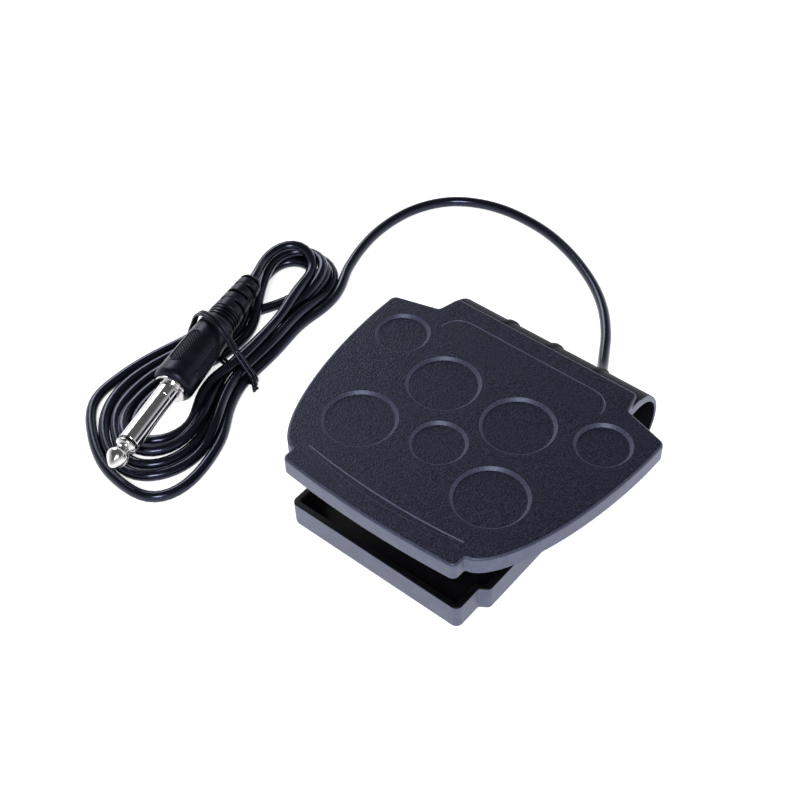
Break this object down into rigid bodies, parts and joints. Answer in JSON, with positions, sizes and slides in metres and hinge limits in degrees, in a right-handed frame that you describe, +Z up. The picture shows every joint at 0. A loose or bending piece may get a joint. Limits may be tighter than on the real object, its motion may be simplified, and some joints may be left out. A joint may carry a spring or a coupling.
{
  "type": "sustain pedal",
  "caption": "Black plastic sustain pedal: flared treadle with round recesses on a C-shaped flexing web over a base tray, with a tied cord and a 6.35 mm plug.",
  "frame": {"origin": "on the floor under the middle of the pedal's width and depth, cord not counted", "axes": "+X to the right across the pedal, +Y to the rear where the cord leaves, +Z up"},
  "size_m": [0.1518, 0.1612, 0.028],
  "materials": {
    "tread_plastic": "fine grained moulded ABS",
    "base_plastic": "smooth satin moulded ABS",
    "foot_rubber": "matt rubber",
    "board_phenolic": "paper phenolic board",
    "steel_screw": "zinc plated",
    "brass_contact": "spring brass",
    "solder_tin": "tin, satin",
    "wire_red": "insulated wire",
    "wire_black": "insulated wire",
    "nylon_white": "nylon",
    "contact_silver": "silver contact, polished",
    "cord_pvc": "glossy PVC jacket",
    "moulded_pvc": "satin moulded PVC",
    "tie_plastic": "plastic covered wire",
    "nickel_plate": "bright nickel plate",
    "insulator_black": "black insulator ring"
  },
  "bodies": {
    "base": {"base_tray": "base_plastic", "hinge_web": "base_plastic", "rubber_feet": "foot_rubber", "stop_bumpers": "foot_rubber", "contact_board": "board_phenolic", "board_screws": "steel_screw", "fixed_contact": "brass_contact", "leaf_stand": "board_phenolic", "leaf_tab": "brass_contact", "leaf_rivets": "solder_tin", "solder_joints": "solder_tin", "signal_wire": "wire_red", "ground_wire": "wire_black", "cable_clamp": "base_plastic", "clamp_screws": "steel_screw", "cord_gland": "moulded_pvc", "cord_inner": "cord_pvc", "cord": "cord_pvc", "cord_plug_lead": "cord_pvc", "cord_hank": "cord_pvc", "twist_tie": "tie_plastic", "plug_grip": "moulded_pvc", "grip_pads": "moulded_pvc", "plug_relief": "moulded_pvc", "plug_collar": "nickel_plate", "plug_sleeve": "nickel_plate", "plug_insulator": "insulator_black", "plug_tip": "nickel_plate"},
    "treadle": {"treadle_plate": "tread_plastic", "actuator_tip": "nylon_white"},
    "leaf": {"contact_leaf": "brass_contact", "contact_rivet": "contact_silver"}
  },
  "joints": [
    {"name": "treadle_press", "type": "hinge", "parent": "base", "child": "treadle", "pos_m": [0, 0.0312, 0.0124], "axis": [1, 0, 0], "range_deg": [0, 7], "stiffness_Nm_per_rad": 6},
    {"name": "leaf_bend", "type": "hinge", "parent": "base", "child": "leaf", "pos_m": [0, 0.008, 0.0104], "axis": [1, 0, 0], "range_deg": [0, 18.5], "stiffness_Nm_per_rad": 0.02}
  ],
  "couplings": [
    {"joint": "leaf_bend", "follows": "treadle_press", "ratio": 2.64}
  ]
}
